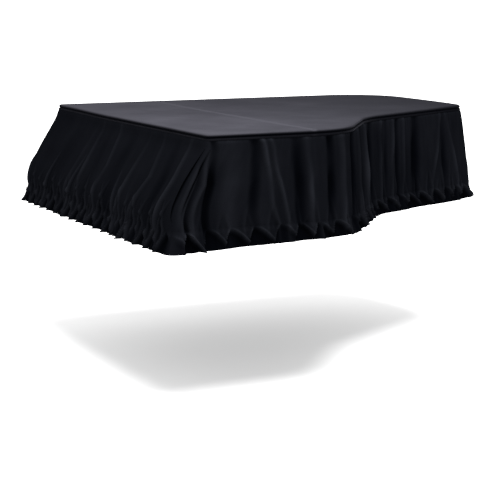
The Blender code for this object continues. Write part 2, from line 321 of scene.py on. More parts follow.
def build_stitch_group():
    """A row of stitches along a seam: short dashes of thread pressed into the cloth."""
    group, source, sink = new_group(
        "stitch_row",
        (
            ("Cloth", "NodeSocketVector", None),
            ("Row", "NodeSocketFloat", 0.0),
            ("Stitches per metre", "NodeSocketFloat", 300.0),
            ("Thread", "NodeSocketFloat", 0.0007),
        ),
        (("Height", "NodeSocketFloat"),),
    )
    parts = group.nodes.new("ShaderNodeSeparateXYZ")
    group.links.new(source.outputs["Cloth"], parts.inputs[0])
    from_row = math_node(group, "SUBTRACT", parts.outputs["Y"], source.outputs["Row"])
    apart = math_node(group, "ABSOLUTE", from_row)
    on_row = math_node(group, "LESS_THAN", apart, source.outputs["Thread"])
    count = math_node(group, "MULTIPLY", parts.outputs["X"], source.outputs["Stitches per metre"])
    on_dash = math_node(group, "LESS_THAN", math_node(group, "FRACT", count), DASH_SHARE)
    group.links.new(math_node(group, "MULTIPLY", on_row, on_dash), sink.inputs["Height"])
    return group


twill_group = build_twill_group()
handling_group = build_handling_group()
stitch_group = build_stitch_group()
print("node groups:", twill_group.name, handling_group.name, stitch_group.name)

# %% [markdown]
# A cloth material keeps its own shader. Black cloth shows its folds mainly by light and shade, and here both
# are painted into the colour: each piece carries a layer of painted light, with some wear on the top, a
# number from 0 to 1 at every point of its mesh, high where light is painted and low where shade is painted.
# The material reads it, breaks it up with the mottle and mixes a dark tone of painted shade with a grey tone
# of painted light.
# Sheen is the same all over and is set on the shader itself. The relief is stacked as it is in real cloth:
# crumples first, then the threads, then the stitches that hold the panels together.


# %% A cloth material
# The layer that holds painted light and shade, and the curve that shapes the painted light
LIGHT_AND_WEAR_LAYER = "painted_light_and_wear"
LIGHT_AND_WEAR_CURVE = 1.8
MOTTLE_SHARE = 0.7
ROUGHNESS_SPREAD = 0.06
SHEEN_ROUGHNESS = 0.35
SHEEN_TINT = (0.84, 0.84, 1.0, 1.0)
# distance in metres, strength
CRUMPLE_BUMP = (0.0012, 0.35)
TWILL_BUMP = (0.00009, 0.5)
STITCH_BUMP = (0.0003, 0.3)


def add_relief(tree, height, amount, below):
    """A Bump node over the relief below it, and its normal."""
    distance, strength = amount
    bump = tree.nodes.new("ShaderNodeBump")
    bump.inputs["Strength"].default_value = strength
    bump.inputs["Distance"].default_value = distance
    tree.links.new(height, bump.inputs["Height"])
    if below is not None:
        tree.links.new(below, bump.inputs["Normal"])
    return bump.outputs["Normal"]


def cloth_material(name, tones, roughness, sheen, stitch_rows):
    """Black twill that goes from a dark tone of painted shade to a grey tone of painted light as its layer
    rises from 0 to 1.
    """
    material = bpy.data.materials.new(name)
    material.use_nodes = True
    tree = material.node_tree
    shader = tree.nodes["Principled BSDF"]
    shader.inputs["Sheen Weight"].default_value = sheen
    shader.inputs["Sheen Roughness"].default_value = SHEEN_ROUGHNESS
    shader.inputs["Sheen Tint"].default_value = SHEEN_TINT
    shader.inputs["Specular IOR Level"].default_value = 0.0
    places = tree.nodes.new("ShaderNodeTexCoord")
    weave = tree.nodes.new("ShaderNodeGroup")
    weave.node_tree = twill_group
    handling = tree.nodes.new("ShaderNodeGroup")
    handling.node_tree = handling_group
    tree.links.new(places.outputs["UV"], weave.inputs["Cloth"])
    tree.links.new(places.outputs["Object"], handling.inputs["Place"])
    colour = tree.nodes.new("ShaderNodeMix")
    colour.data_type = "RGBA"
    colour.inputs["A"].default_value, colour.inputs["B"].default_value = tones
    # Painted light and shade: the layer picks the base colour between the dark tone and the grey tone
    painted_light_and_wear = tree.nodes.new("ShaderNodeAttribute")
    painted_light_and_wear.attribute_name = LIGHT_AND_WEAR_LAYER
    mottle = math_node(tree, "SUBTRACT", handling.outputs["Mottle"], 0.5)
    spots = math_node(tree, "ADD", math_node(tree, "MULTIPLY", mottle, MOTTLE_SHARE), 1.0)
    shade = math_node(tree, "MULTIPLY", math_node(tree, "POWER", painted_light_and_wear.outputs["Fac"], LIGHT_AND_WEAR_CURVE), spots)
    tree.links.new(shade, colour.inputs["Factor"])
    tree.links.new(colour.outputs["Result"], shader.inputs["Base Color"])
    rough = tree.nodes.new("ShaderNodeMapRange")
    rough.inputs["To Min"].default_value = roughness - ROUGHNESS_SPREAD
    rough.inputs["To Max"].default_value = roughness + ROUGHNESS_SPREAD
    tree.links.new(handling.outputs["Mottle"], rough.inputs["Value"])
    tree.links.new(rough.outputs["Result"], shader.inputs["Roughness"])
    normal = add_relief(tree, handling.outputs["Crumple"], CRUMPLE_BUMP, None)
    normal = add_relief(tree, weave.outputs["Height"], TWILL_BUMP, normal)
    for row in stitch_rows:
        stitches = tree.nodes.new("ShaderNodeGroup")
        stitches.node_tree = stitch_group
        stitches.inputs["Row"].default_value = row
        tree.links.new(places.outputs["UV"], stitches.inputs["Cloth"])
        normal = add_relief(tree, stitches.outputs["Height"], STITCH_BUMP, normal)
    tree.links.new(normal, shader.inputs["Normal"])
    return material


print("relief, distance and strength:", CRUMPLE_BUMP, TWILL_BUMP, STITCH_BUMP)

# %% [markdown]
# The top and the band are lit from above, so their lighter tone is a dark grey of painted light, and a faint
# sheen stands for the fuzz. The skirts are seen against the light and stay nearly black, with a lighter tone
# only for the painted highlights on their crests. Each piece's rows of stitches lie where its seams are:
# beside the cross seam, along the band's lip, and on the skirts under the band and above the hem.

# %% The three finishes
# tone in painted shade, tone in painted light
TOP_TONES = ((0.0006, 0.0007, 0.0012, 1), (0.0235, 0.0231, 0.0278, 1))
SKIRT_TONES = ((0.0005, 0.0006, 0.0010, 1), (0.0071, 0.0076, 0.0097, 1))
SEAM_ALLOWANCE = 0.005
HEM_ALLOWANCE = 0.009
CROSS_SEAM = TOP_SEAM_Y - ORIGIN_BEHIND_FRONT
TOP_STITCHES = (CROSS_SEAM - SEAM_ALLOWANCE, CROSS_SEAM + SEAM_ALLOWANCE)
BAND_STITCHES = (-0.0166,)
SKIRT_STITCHES = (BAND_DROP + SEAM_ALLOWANCE, HEM_DROP - HEM_ALLOWANCE)

top_twill = cloth_material("black_twill_top", TOP_TONES, 0.72, 0.05, TOP_STITCHES)
band_twill = cloth_material("black_twill_band", TOP_TONES, 0.72, 0.02, BAND_STITCHES)
skirt_twill = cloth_material("black_twill_skirt", SKIRT_TONES, 0.60, 0.0, SKIRT_STITCHES)
TOP_FINISH = ("top_cloth", top_twill)
BAND_FINISH = ("top_cloth", band_twill)
SKIRT_FINISH = ("skirt_cloth", skirt_twill)
print("materials:", top_twill.name, band_twill.name, skirt_twill.name)

# %% [markdown]
# Pieces are finished in one place: the mesh gets its material, a little thickness and its ride on the
# cover's one body, the part of the node it stands for is hidden, and the size to which its cloth was cut is
# printed.


# %% Turning a surface into a piece of cloth
def sew_piece(name, bm, finish, flat):
    """Makes the bmesh a sheet of cloth that stands in for the node of the same name, whose part it hides."""
    slot, material = finish
    for edge in bm.edges:
        edge.smooth = not edge.is_boundary
    mesh = bpy.data.meshes.new(name + "_cloth")
    bm.to_mesh(mesh)
    bm.free()
    mesh.materials.append(material)
    mesh.shade_smooth()
    piece = bpy.data.objects.new(name + "_cloth", mesh)
    bpy.context.scene.collection.objects.link(piece)
    thickness = piece.modifiers.new("thickness", "SOLIDIFY")
    thickness.thickness = CLOTH_THICKNESS
    thickness.offset = 0.0
    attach(piece, "root")
    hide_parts(name)
    print(name, "has", len(mesh.vertices), "points, cut to", flat)
    return piece


def lay_uv(bm, coordinates):
    """Writes a UV map from a dictionary of points to places on the cloth, in metres."""
    layer = bm.loops.layers.uv.new("cloth")
    for face in bm.faces:
        for loop in face.loops:
            loop[layer].uv = coordinates[loop.vert]


print("cloth", 1000 * CLOTH_THICKNESS, "mm thick")

# %% [markdown]
# The top is two widths of cloth that lie on the lid. A flat sheet could be one big face, but then it could
# not dip or wrinkle. Cutting that face with evenly spaced planes, like ruling graph paper, gives it points
# inside while the outline stays exact. The cross seam stands up as a low ridge, because its allowances lie
# under it, and gets a painted highlight along it. The top's colour also carries painted light that falls off
# towards the tail, painted shade along its far rim, and a few random patches of wear.

# %% The two widths of the top
TOP_RULING = 0.022
TOP_LIFT = 0.0014
SEAM_RIDGE_HEIGHT = 0.0020
SEAM_RIDGE_HALF_WIDTH = 0.009
# Shares of the ridge's half width at which the cloth has points
SEAM_CUTS = (0.25, 0.5, 0.75, 1.0)
# Soft dips: size, depth, place in the noise
TOP_DIPS = ((0.33, 0.0011, 0.0), (0.11, 0.0005, 4.0))
DIP_STRETCH = 0.7
EDGE_REST = 0.03
RIM_STEP = 0.012
LID_LENGTH = 1.64
# How much light is painted on the top in front, and how much less at the tail and on the bass side
LIGHT_IN_FRONT, LIGHT_LOST_BEHIND, LIGHT_LOST_ACROSS = 0.95, 0.53, 0.03
PATCH_SIZE, PATCH_WEAR, PATCH_NOISE = 0.28, 0.10, 13.0
# A painted highlight along the cross seam, its strength and half width; painted shade along the far rim, its
# width and the share of light left there
SEAM_HIGHLIGHT, SEAM_HIGHLIGHT_HALF_WIDTH = 0.30, 0.018
FAR_EDGE_SHADE_WIDTH, FAR_EDGE_LIGHT_LEFT = 0.05, 0.5


def edge_points(stand_out, step):
    """Points along the lid's edge, moved outwards by stand_out."""
    count = round(lid_line.length / step)
    rows = [lid_line.at(lid_line.length * i / count) for i in range(count)]
    return [point + outward * stand_out for point, outward in rows]


def top_height(x, y, from_edge):
    """The height of the top's cloth: soft dips, still at the edge, and the ridge at the cross seam."""
    still = min(1.0, from_edge / EDGE_REST)
    dips = sum(
        depth * noise.noise(Vector((x / size, y / size * DIP_STRETCH, shift)))
        for size, depth, shift in TOP_DIPS
    )
    ridge = SEAM_RIDGE_HEIGHT * bell((y - TOP_SEAM_Y) / SEAM_RIDGE_HALF_WIDTH)
    return TOP_LIFT + (dips + ridge) * still


def top_light_and_wear(x, y):
    """Painted light on the top, from 0 to 1: less towards the tail, a highlight on the cross seam, shade
    round the far edges, and patches of wear.
    """
    even = LIGHT_IN_FRONT - LIGHT_LOST_BEHIND * y / LID_LENGTH - LIGHT_LOST_ACROSS * (0.5 - x / LID_HALF_WIDTH / 2)
    patches = PATCH_WEAR * noise.noise(Vector((x / PATCH_SIZE, y / PATCH_SIZE, PATCH_NOISE)))
    seam = SEAM_HIGHLIGHT * bell((y - TOP_SEAM_Y) / SEAM_HIGHLIGHT_HALF_WIDTH)
    from_far_edge = min(x + LID_HALF_WIDTH, LID_LENGTH - y)
    return (even + patches + seam) * ease(FAR_EDGE_LIGHT_LEFT, 1.0, from_far_edge / FAR_EDGE_SHADE_WIDTH)


def rule(bm, axis, low, high, step):
    """Cuts a flat mesh by planes at even steps between two places."""
    normal = Vector((1.0, 0.0, 0.0)) if axis == 0 else Vector((0.0, 1.0, 0.0))
    count = math.ceil((high - low) / step)
    for i in range(1, count):
        geom = [*bm.verts, *bm.edges, *bm.faces]
        place = normal * (low + (high - low) * i / count)
        bmesh.ops.bisect_plane(bm, geom=geom, plane_co=place, plane_no=normal)


def nearest_edge(point, rim):
    return min((point.x - p.x) ** 2 + (point.y - p.y) ** 2 for p in rim) ** 0.5


def make_top(name, side, cut_length):
    """One width of the top: the part of the lid's outline before (-1) or behind (1) the cross seam."""
    rim = edge_points(-BAND_ROLL, RIM_STEP)
    bm = bmesh.new()
    face = bm.faces.new([bm.verts.new((p.x, p.y, 0.0)) for p in rim])
    geom = [face, *face.edges, *face.verts]
    bmesh.ops.bisect_plane(
        bm, geom=geom, plane_co=(0.0, TOP_SEAM_Y, 0.0), plane_no=(0.0, side, 0.0), clear_inner=True
    )
    low_y = min(v.co.y for v in bm.verts)
    high_y = max(v.co.y for v in bm.verts)
    area = sum(f.calc_area() for f in bm.faces)
    rule(bm, 0, -LID_HALF_WIDTH, LID_HALF_WIDTH, TOP_RULING)
    rule(bm, 1, low_y, high_y, TOP_RULING)
    near_seam = [TOP_SEAM_Y + side * SEAM_RIDGE_HALF_WIDTH * part for part in SEAM_CUTS]
    for y in near_seam:
        geom = [*bm.verts, *bm.edges, *bm.faces]
        bmesh.ops.bisect_plane(bm, geom=geom, plane_co=(0.0, y, 0.0), plane_no=(0.0, 1.0, 0.0))
    coarse_rim = rim[::2]
    light_and_wear = bm.verts.layers.float.new(LIGHT_AND_WEAR_LAYER)
    for vertex in bm.verts:
        height = top_height(vertex.co.x, vertex.co.y, nearest_edge(vertex.co, coarse_rim))
        # painted light and shade of the top, with patches of wear
        vertex[light_and_wear] = top_light_and_wear(vertex.co.x, vertex.co.y)
        vertex.co = in_frame(vertex.co, height + hinge_rise(vertex.co.x))
    lay_uv(bm, {v: (v.co.x, v.co.y) for v in bm.verts})
    flat = (2 * (LID_HALF_WIDTH - BAND_ROLL), cut_length)
    return sew_piece(name, bm, TOP_FINISH, flat)


make_top("top_front_panel", -1, 0.43)
make_top("top_rear_panel", 1, 1.19)

# %% [markdown]
# The band is sewn to the top just over the lid's edge. Its section is drawn once, as a maker would sketch
# it: over the rounded edge, down the side, in where the seam pulls it against the lid, and out again to a
# narrow lip where the skirt is joined. The section is then carried round the lid. A slight pucker along the
# stitching keeps it from looking moulded.

# %% The edge band
# stand-out, height, how much of the top's painted light it gets
BAND_SECTION = (
    (-0.0160, 0.0000, 1.00),
    (-0.0120, 0.0014, 1.04),
    (-0.0085, 0.0012, 1.10),
    (-0.0050, 0.0003, 1.10),
    (-0.0022, -0.0016, 0.85),
    (-0.0005, -0.0042, 0.45),
    (0.0000, -0.0068, 0.12),
    (-0.0018, -0.0088, 0.00),
    (-0.0034, -0.0104, 0.00),
    (-0.0030, -0.0118, 0.00),
    (-0.0010, -0.0132, 0.15),
    (0.0006, -0.0148, 0.28),
    (0.0012, -0.0166, 0.32),
    (0.0012, -0.0188, 0.32),
    (0.0008, -BAND_DROP, 0.25),
)
BAND_CUT = 0.034
BAND_STEP = 0.006
# size, depth, place in the noise
PUCKER = (0.011, 0.0003, 7.0)
SLACK = (0.16, 0.0008, 2.0)
ROWS_HELD_BY_SEAM = 4
CLOSED = 0.00005


def band_stray(along, height):
    """The band's unevenness: a pucker along the stitches and a slow slack."""
    size, depth, shift = PUCKER
    pucker = noise.noise(Vector((along / size, height / size, shift))) * depth
    size, depth, shift = SLACK
    return pucker + noise.noise(Vector((along / size, 0.0, shift))) * depth


def make_band():
    count = round(lid_line.length / BAND_STEP)
    bm = bmesh.new()
    bmesh.ops.create_grid(bm, x_segments=count, y_segments=len(BAND_SECTION) - 1, size=0.5)
    light_and_wear = bm.verts.layers.float.new(LIGHT_AND_WEAR_LAYER)
    places = {}
    for vertex in bm.verts:
        along = (vertex.co.x + 0.5) * lid_line.length
        row = round((0.5 - vertex.co.y) * (len(BAND_SECTION) - 1))
        stand_out, height, band_light = BAND_SECTION[row]
        point, outward = lid_line.at(along)
        free = min(1.0, row / ROWS_HELD_BY_SEAM)
        # painted light on the band's rounded top, painted shade down its side
        vertex[light_and_wear] = band_light * top_light_and_wear(point.x, point.y)
        point = point + outward * (stand_out + band_stray(along, height) * free)
        places[vertex] = (along, height)
        vertex.co = in_frame(point, height + hinge_rise(point.x))
    lay_uv(bm, places)
    bmesh.ops.remove_doubles(bm, verts=bm.verts, dist=CLOSED)
    flat = (lid_line.length, BAND_CUT)
    return sew_piece("edge_band", bm, BAND_FINISH, flat)


make_band()

# %% [markdown]
# A skirt panel is a rectangle that hangs. Its big folds were read off the cover one by one, left to right.
# Each row follows one fold down the cloth: where it runs, how wide it is, and how far it stands out or in.
# Ridges are above zero and troughs below. Folds that lean are what make hanging cloth look heavy. The tail
# and the bass side are out of sight, so their folds are evenly spread, with a little unevenness.

# %% The skirt's main folds
# place at the band, halfway and at the ruffle as a share of the panel, half width in metres,
# height at the band, halfway and at the ruffle in metres
FRONT_FOLDS = (
    (0.22, 0.21, 0.20, 0.080, 0.000, -0.002, -0.003),
    (0.34, 0.33, 0.31, 0.024, 0.000, 0.004, 0.005),
    (0.37, 0.39, 0.38, 0.022, 0.001, 0.005, 0.005),
    (0.44, 0.45, 0.44, 0.050, 0.000, -0.003, -0.003),
    (0.49, 0.53, 0.505, 0.022, 0.002, 0.007, 0.007),
    (0.60, 0.60, 0.60, 0.070, 0.000, -0.004, -0.005),
    (0.69, 0.69, 0.68, 0.022, 0.000, 0.006, 0.008),
    (0.77, 0.81, 0.76, 0.024, 0.001, 0.006, 0.009),
    (0.86, 0.88, 0.87, 0.050, 0.000, -0.006, -0.008),
    (0.93, 0.94, 0.93, 0.022, 0.002, 0.010, 0.012),
)
CHEEK_FOLDS = (
    (0.00, 0.02, 0.035, 0.016, 0.000, 0.007, 0.007),
    (0.00, 0.06, 0.065, 0.014, 0.000, -0.008, -0.008),
    (0.01, 0.11, 0.10, 0.020, 0.002, 0.012, 0.010),
    (0.05, 0.17, 0.20, 0.022, -0.006, -0.018, -0.011),
    (0.18, 0.29, 0.34, 0.075, 0.003, 0.005, 0.004),
    (0.42, 0.50, 0.53, 0.034, -0.008, -0.015, -0.012),
    (0.48, 0.61, 0.70, 0.020, 0.007, 0.010, 0.007),
    (0.56, 0.69, 0.77, 0.018, 0.005, 0.009, 0.006),
    (0.78, 0.84, 0.87, 0.036, -0.005, -0.013, -0.012),
    (0.88, 0.92, 0.94, 0.022, 0.005, 0.009, 0.008),
)
BENT_SIDE_FOLDS = (
    (0.035, 0.035, 0.035, 0.030, -0.010, -0.013, -0.006),
    (0.085, 0.085, 0.080, 0.034, 0.003, 0.007, 0.006),
    (0.155, 0.150, 0.140, 0.038, -0.008, -0.014, -0.010),
    (0.250, 0.240, 0.220, 0.050, 0.004, 0.007, 0.008),
    (0.310, 0.300, 0.290, 0.040, -0.003, -0.004, -0.005),
    (0.395, 0.350, 0.340, 0.050, 0.006, 0.011, 0.011),
    (0.460, 0.435, 0.420, 0.040, -0.009, -0.016, -0.015),
    (0.525, 0.510, 0.500, 0.018, 0.005, 0.006, 0.005),
    (0.550, 0.540, 0.530, 0.020, -0.004, -0.006, -0.004),
    (0.585, 0.570, 0.560, 0.014, 0.004, 0.005, 0.005),
    (0.615, 0.600, 0.590, 0.024, -0.008, -0.011, -0.008),
    (0.645, 0.635, 0.625, 0.018, 0.005, 0.006, 0.005),
    (0.715, 0.700, 0.690, 0.050, -0.009, -0.015, -0.015),
    (0.860, 0.820, 0.775, 0.018, 0.004, 0.007, 0.006),
    (0.870, 0.860, 0.855, 0.034, -0.002, -0.006, -0.008),
    (0.885, 0.910, 0.930, 0.018, 0.003, 0.007, 0.006),
)
HIDDEN_FOLD_PITCH, HIDDEN_FOLD_HEIGHT = 0.10, 0.008
HIDDEN_WIDTH_SHARE, HIDDEN_TOP_SHARE = 0.9, 0.4
# size of the unevenness, how fast it changes from fold to fold
HIDDEN_PLACES, HIDDEN_HEIGHTS = (0.3, 2.3), (0.25, 1.7)


def plain_folds(length):
    """Folds for a side that hangs out of sight, a row for each ridge or trough."""
    count = 2 * round(length / HIDDEN_FOLD_PITCH)
    half_width = HIDDEN_WIDTH_SHARE * length / count
    stray, place_rate = HIDDEN_PLACES
    uneven, height_rate = HIDDEN_HEIGHTS
    rows = []
    for i in range(1, count):
        place = (i + stray * math.sin(place_rate * i)) / count
        height = HIDDEN_FOLD_HEIGHT * (1 if i % 2 else -1) * (1 + uneven * math.sin(height_rate * i))
        rows.append((place, place, place, half_width, HIDDEN_TOP_SHARE * height, height, height))
    return tuple(rows)


def panel_length(line, panel):
    return line.stations[panel + 1] - line.stations[panel]


FOLDS = (
    FRONT_FOLDS,
    CHEEK_FOLDS,
    BENT_SIDE_FOLDS,
    plain_folds(panel_length(seam_line, TAIL)),
    plain_folds(panel_length(seam_line, SPINE)),
)
print("main folds on each panel:", [len(rows) for rows in FOLDS])

# %% [markdown]
# The thread that gathers the ruffle also draws on the skirt above it. It pulls up short wrinkles that start
# between the pleats and lean towards a neighbour, so that pairs of them meet like the letter V. On the
# front, where the cloth is slack between the knee and the seam, they are long and crowded, and on the sides
# they are short. Under the band the cloth has finer, softer gathers, and everywhere it has faint crinkles.

# %% Wrinkles, gathers and crinkles
# Each side: how far up the skirt wrinkles reach as a share of its fall, their height, half width and lean
WRINKLES = (
    (0.30, 0.0075, 0.010, 0.90),
    (0.20, 0.0030, 0.011, 0.30),
    (0.26, 0.0040, 0.011, 0.35),
    (0.24, 0.0040, 0.011, 0.40),
    (0.22, 0.0040, 0.011, 0.40),
)
# The trough beside each wrinkle: its share of the wrinkle's height, how many half widths away it lies
WRINKLE_TROUGH, TROUGH_AWAY = 0.6, 1.1
WRINKLE_STRAY, WRINKLE_UNEVEN, WRINKLE_TAPER = 0.7, 1.3, 0.6
# Height of the gathers on each side, and their pitch, reach, stretch, roundness and place in the noise
BAND_GATHERS = (0.0, 0.0007, 0.0016, 0.0016, 0.0014)
GATHER_PITCH, GATHER_REACH, GATHER_STRETCH, GATHER_ROUNDNESS, GATHER_NOISE = 0.021, 0.25, 1.5, 0.8, 3.0
# size, height, how far they stretch down the fall, share of them in front
CRINKLE = ((0.110, 0.0050, 5.0, 0.2), (0.050, 0.0022, 3.5, 0.4), (0.022, 0.0010, 4.0, 0.5))
CRINKLE_NOISE = 31.0
SEAM_PULL, SEAM_PULL_REACH = 0.0001, 0.006
# Each wrinkle and each pleat has a chance of its own: step from one to the next, start, place in the noise
WRINKLE_CHANCE = (0.83, 0.4, 5.0)
PLEAT_CHANCE = (0.77, 0.5, 9.0)


def chance_of(number, panel, row):
    """How much the wrinkle or pleat of that number differs from its neighbours, about 0."""
    step, start, shift = row
    return noise.noise(Vector((number * step + start, shift, panel)))


def wrinkle_height(panel, phase, depth):
    """Wrinkles above the ruffle, two to each pleat, depth running from 0 at the band to 1 at the ruffle."""
    tall, height, half_width, lean = WRINKLES[panel]
    place = phase / math.pi
    nearest = math.floor(place)
    total = 0.0
    for number in range(nearest - 1, nearest + 3):
        chance = chance_of(number, panel, WRINKLE_CHANCE)
        up = (1 - depth) / (tall * (1 + WRINKLE_UNEVEN * chance))
        if up < 1:
            side = 1 if number % 2 else -1
            root = number + 0.5 + WRINKLE_STRAY * chance
            apart = (place - root - side * lean * up) * PLEAT_PITCH / 2
            trough = WRINKLE_TROUGH * bell(apart / half_width - TROUGH_AWAY * side)
            shape = bell(apart / half_width) - trough
            total += height * (1 + chance) * (1 - up) ** WRINKLE_TAPER * shape
    return total


def gather_height(panel, along, depth):
    """Fine gathers that hang from the band and die out below it."""
    value = noise.noise(Vector((along / GATHER_PITCH, depth * GATHER_STRETCH, GATHER_NOISE)))
    crest = 1 - 2 * abs(value) ** GATHER_ROUNDNESS
    return BAND_GATHERS[panel] * math.exp(-depth / GATHER_REACH) * crest


def crinkle_height(panel, along, drop):
    total = 0.0
    for size, height, stretch, in_front in CRINKLE:
        share = in_front if panel == FRONT else 1.0
        place = Vector((along / size, drop / size / stretch, CRINKLE_NOISE + size))
        total += share * height * noise.noise(place)
    return total


def seam_pull(drop, seam):
    """The small dint that a tight row of stitches leaves."""
    return -SEAM_PULL * math.exp(-(((drop - seam) / SEAM_PULL_REACH) ** 2))


print("wrinkles climb", WRINKLES[FRONT][0], "of the apron and", WRINKLES[CHEEK][0], "of the cheek")

# %% [markdown]
# The ruffle is a strip about one and a half times as long as the seam it is sewn to, so it stands in
# pleats. Its crests run on from the seam and flare out, and between them the cloth falls in. Each hollow
# has a head: in front it starts as a point and widens like a wedge, and round the sides it opens under an
# arch that leans to one side. A thin rim of cloth stands up along the border of each hollow and catches the
# light.

# %% The ruffle's pleats
PLEAT_PITCH = 0.086
PLEAT_SPACING = ((5, 0.0, 0.9), (13, math.pi, 0.6))
PLEATS = round(seam_line.length / PLEAT_PITCH)
# Each ruffle: middle of the hollow, from -1 to 1, where its head is below the seam, how fast its left and
# right borders fall, how arched they are, its depth, the height of its rim and of the puff under the seam
RUFFLE_STYLE = (
    (0.10, 0.00, 1.15, 0.95, 1.0, 0.016, 0.009, 0.000),
    (-0.45, 0.00, 1.50, 0.42, 1.5, 0.014, 0.011, 0.001),
    (-0.40, 0.00, 1.40, 0.42, 1.5, 0.014, 0.010, 0.001),
    (-0.30, 0.00, 1.20, 0.50, 1.4, 0.014, 0.008, 0.001),
    (-0.30, 0.00, 1.20, 0.50, 1.4, 0.014, 0.008, 0.001),
)
HOLLOW_SOFTNESS = 0.30
RIM_LEAD, RIM_WIDTH, RIM_GROWTH = 0.04, 0.11, 4
PLEAT_UNEVEN = 1.2
HEAD_STRAY = 0.25
PUFF_PLACE, PUFF_REACH = 0.2, 0.2


def wander(rows, along):
    """An unevenness that joins up with itself round the cover."""
    lap = 2 * math.pi * along / seam_line.length
    return sum(size * math.sin(waves * lap + shift) for waves, shift, size in rows)


def pleat_phase(along):
    """Where a place along the ruffle's seam is in its pleats, a full turn to each."""
    return PLEATS * 2 * math.pi * along / seam_line.length + wander(PLEAT_SPACING, along)


def ruffle_height(panel, phase, below):
    """How far a pleat stands out or in, below running from 0 at the seam to 1 at the hem."""
    middle, head, left, right, arch, deep, rim, puff = RUFFLE_STYLE[panel]
    number = math.floor(phase / (2 * math.pi))
    place = phase / math.pi - 2 * number - 1
    chance = chance_of(number, panel, PLEAT_CHANCE)
    apart = place - middle * (1 + PLEAT_UNEVEN * chance)
    start = head + HEAD_STRAY * chance + (left if apart < 0 else right) * abs(apart) ** arch
    hollow = deep * (1 + PLEAT_UNEVEN * chance) * ease(0.0, 1.0, (below - start) / HOLLOW_SOFTNESS)
    border = rim * (1 + chance) * bell((below - start + RIM_LEAD) / RIM_WIDTH)
    border *= ease(0.0, 1.0, RIM_GROWTH * below)
    return border + puff * bell((below - PUFF_PLACE) / PUFF_REACH) - hollow


print("pleats round the hem:", PLEATS)

# %% [markdown]
# The front corners are slit so that the apron can be lifted off the keys. Each slit opens a little in its
# middle. The side's edge is turned back into a narrow hem, with a line where it is stitched, and runs on a
# hand's width behind the apron, so nothing shows through the gap.

# %% The front slits
SLIT_TOP, SLIT_BOTTOM = 0.05, 0.305
SLIT_WIDTH, SLIT_ROUNDNESS = 0.011, 0.7
UNDERLAP, UNDERLAP_DEPTH = 0.045, 0.008
# Turned hem: distance from the slit, half width, height
SLIT_HEM = ((0.009, 0.006, 0.0050), (0.017, 0.006, -0.0110))

def slit_opening(drop):
    """How open the slits are at a drop, from 0 to 1."""
    share = (drop - SLIT_TOP) / (SLIT_BOTTOM - SLIT_TOP)
    return math.sin(math.pi * share) ** SLIT_ROUNDNESS if 0 < share < 1 else 0.0


def slit_hem(from_slit, opening):
    """The turned hem beside a slit, and the underlap's step back beyond it."""
    if from_slit < 0:
        return -UNDERLAP_DEPTH * min(1.0, -from_slit / UNDERLAP_DEPTH)
    return opening * sum(height * bell((from_slit - place) / half) for place, half, height in SLIT_HEM)


print("each slit is", round(1000 * (SLIT_BOTTOM - SLIT_TOP)), "mm long")

# %% [markdown]
# One function now places any point of the hanging cloth. It adds up the stand-out, the main folds, the
# wrinkles and the pleats along the outward direction, at a share of the way along a panel and a drop below
# the top. The uppermost strip is tucked in behind the band, as it is sewn, so that no gap shows from above.
# Besides the point the function gives its relief, which is how high it stands on its folds. The pieces turn
# that into painted light and shade: a painted highlight on the crests and painted shade in the hollows.

# %% Placing a point of the hanging cloth
SKIRT_TOP = BAND_DROP - 0.004
TUCK_DEPTH, TUCK_REACH = 0.002, 0.014
FOLD_CLEAR_OF_ENDS = 0.012
FOLD_STRAY, FOLD_UNEVEN = 0.008, 0.9
# rate across the panel, rate down the fall, place in the noise
STRAY_NOISE = (40, 3, 17.0)
UNEVEN_NOISE = (40, 2.5, 29.0)
CREST_SHARPNESS = 1.1
HEM_CURVE = 1.3
# How much of the folds and the wrinkles has gone at the hem
FOLDS_GONE, WRINKLES_GONE = 0.5, 0.6
CRINKLE_AT_BAND, CRINKLE_GROWTH = 0.2, 4
# The relief at which the painted shade is darkest and the painted highlight lightest
RELIEF_RANGE = (-0.016, 0.016)


def at_depth(top, halfway, bottom, depth):
    """A fold's value at a depth, running evenly from the band to halfway and on to the ruffle."""
    if depth < 0.5:
        return top + 2 * depth * (halfway - top)
    return halfway + (2 * depth - 1) * (bottom - halfway)


def fold_noise(top, depth, row):
    """An unevenness of the fold that starts at a place along the band."""
    across, down, shift = row
    return noise.noise(Vector((top * across, depth * down, shift)))


def fold_height(rows, share, depth, length):
    """The main folds, whose crests are sharper than their troughs and never quite straight."""
    height = 0.0
    for top, halfway, bottom, half_width, top_height, halfway_height, bottom_height in rows:
        stray = FOLD_STRAY * fold_noise(top, depth, STRAY_NOISE)
        apart = ((share - at_depth(top, halfway, bottom, depth)) * length + stray) / half_width
        if abs(apart) < 1:
            rise = at_depth(top_height, halfway_height, bottom_height, depth)
            rise *= 1 + FOLD_UNEVEN * fold_noise(top, depth, UNEVEN_NOISE)
            height += rise * bell(apart) ** (CREST_SHARPNESS if rise > 0 else 1.0)
    return height


